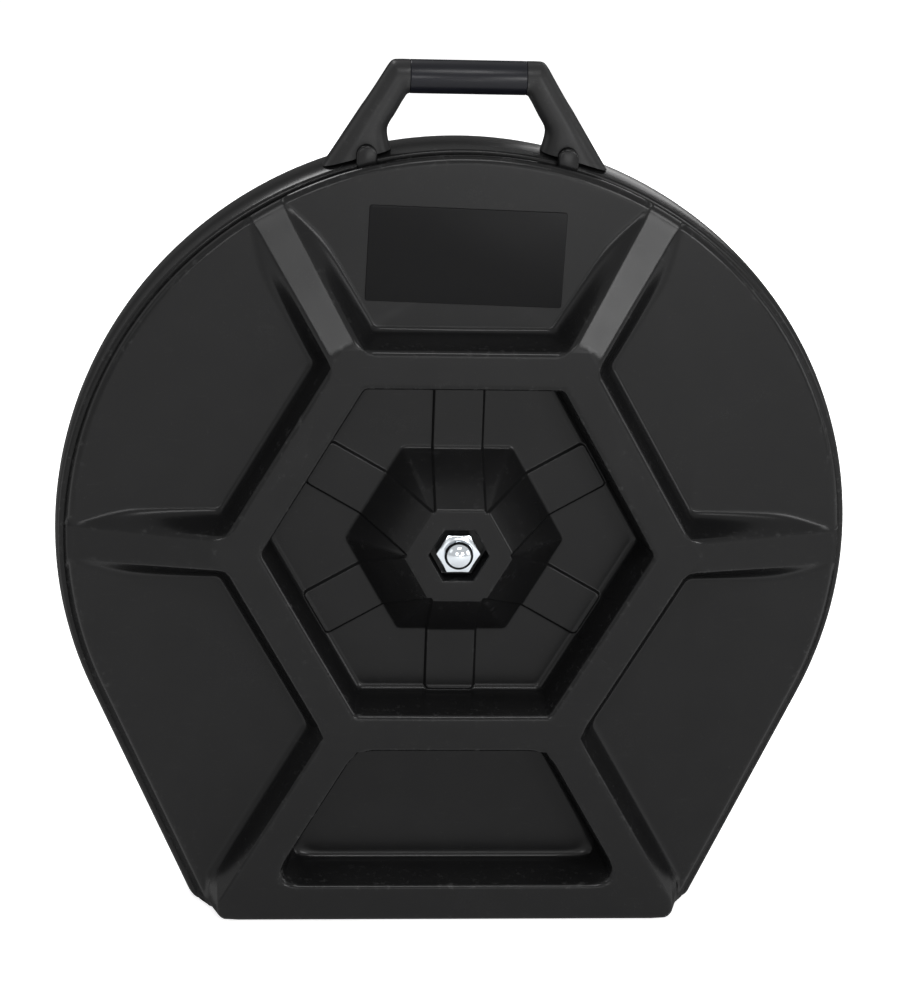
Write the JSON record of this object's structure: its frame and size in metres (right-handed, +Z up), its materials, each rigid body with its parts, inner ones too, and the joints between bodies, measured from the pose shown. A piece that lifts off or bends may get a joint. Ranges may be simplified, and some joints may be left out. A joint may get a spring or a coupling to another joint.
{
  "type": "cymbal case",
  "caption": "Round moulded hard case for drum cymbals with a flat foot, a ribbed lid, a carrying handle, a centre spindle with felts and wing nut, and a hand knob on the back.",
  "frame": {"origin": "middle of the flat foot that the case stands on, on the floor", "axes": "+Z up, +Y from the lid with its hexagonal ring towards the body with the hand knob, +X to the right of someone who faces the lid"},
  "size_m": [0.6118, 0.147, 0.6695],
  "materials": {
    "case_plastic": "black moulded polyethylene with a fine satin grain",
    "handle_plastic": "black moulded plastic, smooth satin",
    "grip_rubber": "soft black sleeve",
    "knob_plastic": "black moulded plastic, satin",
    "hub_plastic": "black moulded plastic",
    "label_film": "bare black film under a clear coat",
    "nut_chrome": "chromed, slightly worn",
    "zinc_steel": "bright zinc plated steel",
    "insert_brass": "turned brass",
    "felt": "pressed grey wool felt",
    "foam": "dark closed-cell foam"
  },
  "bodies": {
    "lid": {"front_shell": "case_plastic", "label_plate": "label_film", "spindle": "zinc_steel", "cap_nut": "nut_chrome", "backing_plate": "zinc_steel", "hub": "hub_plastic", "front_felt": "felt", "front_pad": "foam"},
    "body": {"rear_shell": "case_plastic", "handle_frame": "handle_plastic", "handle_grip": "grip_rubber", "handle_bolt_left": "zinc_steel", "handle_bolt_right": "zinc_steel", "handle_washer_left": "zinc_steel", "handle_washer_right": "zinc_steel", "rear_pad": "foam"},
    "clamp": {"rear_felt": "felt", "clamp_washer": "zinc_steel"},
    "wing": {"wing_nut": "zinc_steel"},
    "knob_seat": {"knob_washer": "zinc_steel"},
    "knob": {"rear_knob": "knob_plastic", "knob_insert": "insert_brass"}
  },
  "joints": [
    {"name": "body_lift_off", "type": "slide", "parent": "lid", "child": "body", "axis": [0, 1, 0], "range_m": [0, 0.25]},
    {"name": "clamp_slide", "type": "slide", "parent": "lid", "child": "clamp", "axis": [0, 1, 0], "range_m": [0, 0.009]},
    {"name": "wing_nut_turn", "type": "hinge", "parent": "clamp", "child": "wing", "pos_m": [0, -0.0068, 0.302], "axis": [0, 1, 0], "range_deg": [0, 2160]},
    {"name": "knob_slide", "type": "slide", "parent": "body", "child": "knob_seat", "axis": [0, 1, 0], "range_m": [0, 0.0171]},
    {"name": "knob_turn", "type": "hinge", "parent": "knob_seat", "child": "knob", "pos_m": [0, 0.0326, 0.302], "axis": [0, 1, 0], "range_deg": [0, 4104]}
  ],
  "couplings": [
    {"joint": "clamp_slide", "follows": "wing_nut_turn", "m_per_rad": 0.0002387},
    {"joint": "knob_slide", "follows": "knob_turn", "m_per_rad": 0.0002387}
  ]
}
